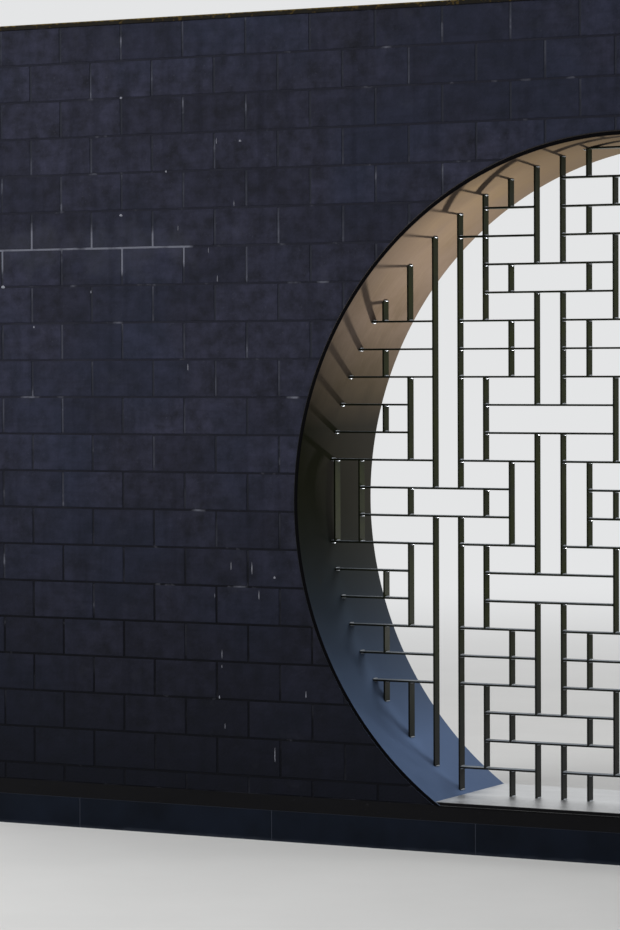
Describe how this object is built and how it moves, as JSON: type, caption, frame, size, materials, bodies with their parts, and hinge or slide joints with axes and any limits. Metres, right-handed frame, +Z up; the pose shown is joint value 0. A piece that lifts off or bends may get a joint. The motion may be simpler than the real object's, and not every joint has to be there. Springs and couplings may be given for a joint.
{
  "type": "moon gate wall with barred lattice",
  "caption": "Thick painted block wall with a round steel-lined opening closed by a welded geometric lattice of flat bars, on a tiled base, capped with folded sheet.",
  "frame": {"origin": "centre of the underside of the tiled base, below the centre of the ring", "axes": "+X along the wall to the right seen from the front, +Y through the wall to the back, +Z up"},
  "size_m": [8, 0.87, 4.488],
  "materials": {
    "painted_block": "matt dark blue-grey masonry paint on concrete block, with lime marks",
    "pool_tile": "blue-grey glazed pool tile",
    "dark_band": "black honed stone band",
    "ring_steel": "warm grey metal paint, satin, brushed on",
    "lattice_bar": "dark olive-bronze metal paint, satin",
    "capping_sheet": "dark sheet with rust along the folded edge"
  },
  "bodies": {
    "root": {"tiled_base_left": "pool_tile", "tiled_base_middle": "pool_tile", "tiled_base_right": "pool_tile", "band_left": "dark_band", "band_middle": "dark_band", "band_right": "dark_band", "footing_course_left": "painted_block", "wall_lower_left": "painted_block", "wall_middle_left": "painted_block", "wall_upper_left": "painted_block", "wall_crown_left": "painted_block", "footing_course_right": "painted_block", "wall_lower_right": "painted_block", "wall_middle_right": "painted_block", "wall_upper_right": "painted_block", "wall_crown_right": "painted_block", "ring_plate_1": "ring_steel", "ring_plate_2": "ring_steel", "ring_plate_3": "ring_steel", "ring_plate_4": "ring_steel", "ring_plate_5": "ring_steel", "ring_plate_6": "ring_steel", "ring_plate_7": "ring_steel", "ring_plate_8": "ring_steel", "sill_plate": "ring_steel", "lattice_left": "lattice_bar", "lattice_middle": "lattice_bar", "lattice_right": "lattice_bar", "capping_left_end": "capping_sheet", "capping_left": "capping_sheet", "capping_right": "capping_sheet", "capping_right_end": "capping_sheet"}
  },
  "joints": []
}
